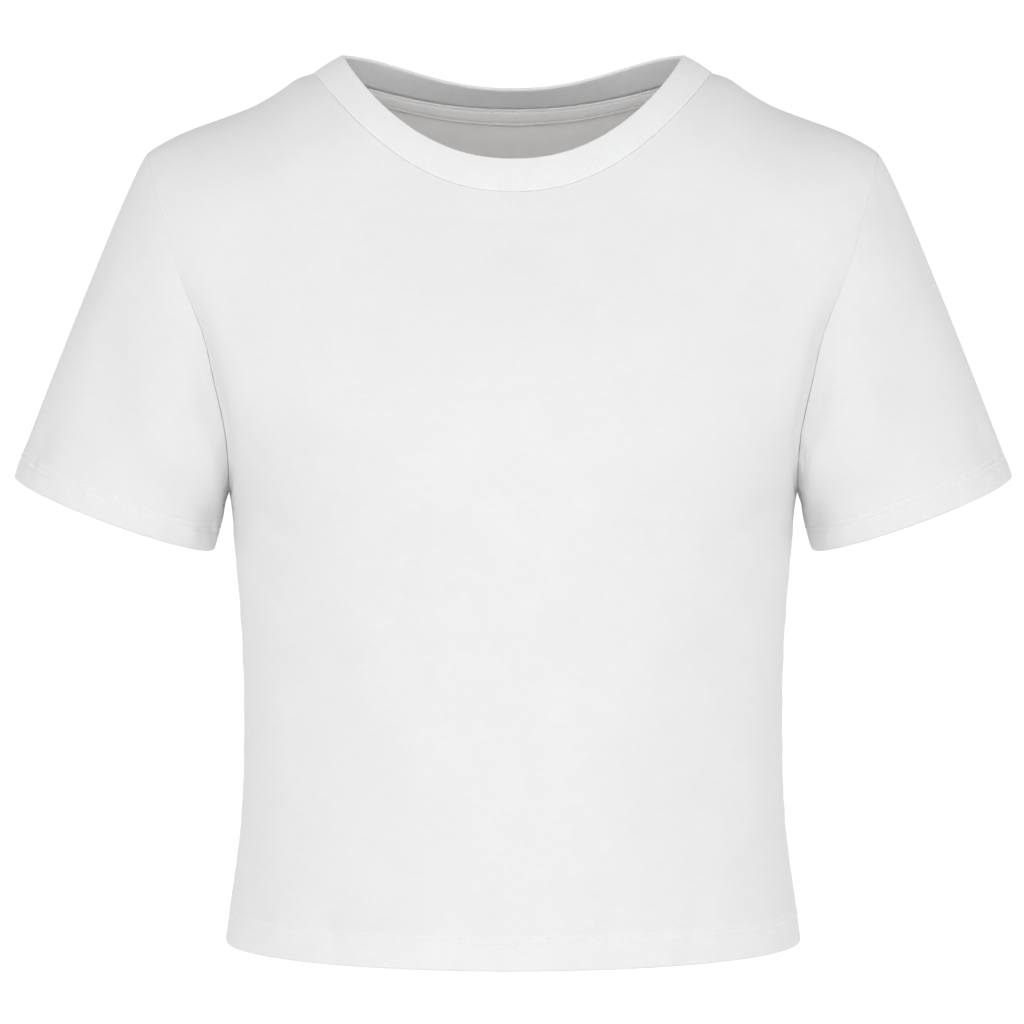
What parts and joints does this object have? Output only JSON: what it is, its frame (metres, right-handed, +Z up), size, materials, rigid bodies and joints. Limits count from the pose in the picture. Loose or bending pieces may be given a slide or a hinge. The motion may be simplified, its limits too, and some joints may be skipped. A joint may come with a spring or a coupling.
{
  "type": "crop top",
  "caption": "Plain white short-sleeved cropped T-shirt, filled out and hollow, with a ribbed crew neckband and turned hems.",
  "frame": {"origin": "level with the top of the neck opening at its sides, on the middle plane and under the shoulder ridge, where the wearer's neck and shoulders hold the garment", "axes": "+Z up, +X towards the right-hand sleeve as seen from the front, -Y towards the front"},
  "size_m": [0.5276, 0.2298, 0.4692],
  "materials": {
    "front_jersey": "matte",
    "back_jersey": "matte",
    "right_sleeve_jersey": "matte",
    "left_sleeve_jersey": "matte",
    "neck_rib_knit": "matte",
    "neck_tape_weave": "matte"
  },
  "bodies": {
    "root": {"front_panel": "front_jersey", "back_panel": "back_jersey", "sleeve_right": "right_sleeve_jersey", "sleeve_left": "left_sleeve_jersey", "neck_rib": "neck_rib_knit", "neck_tape": "neck_tape_weave"}
  },
  "joints": []
}
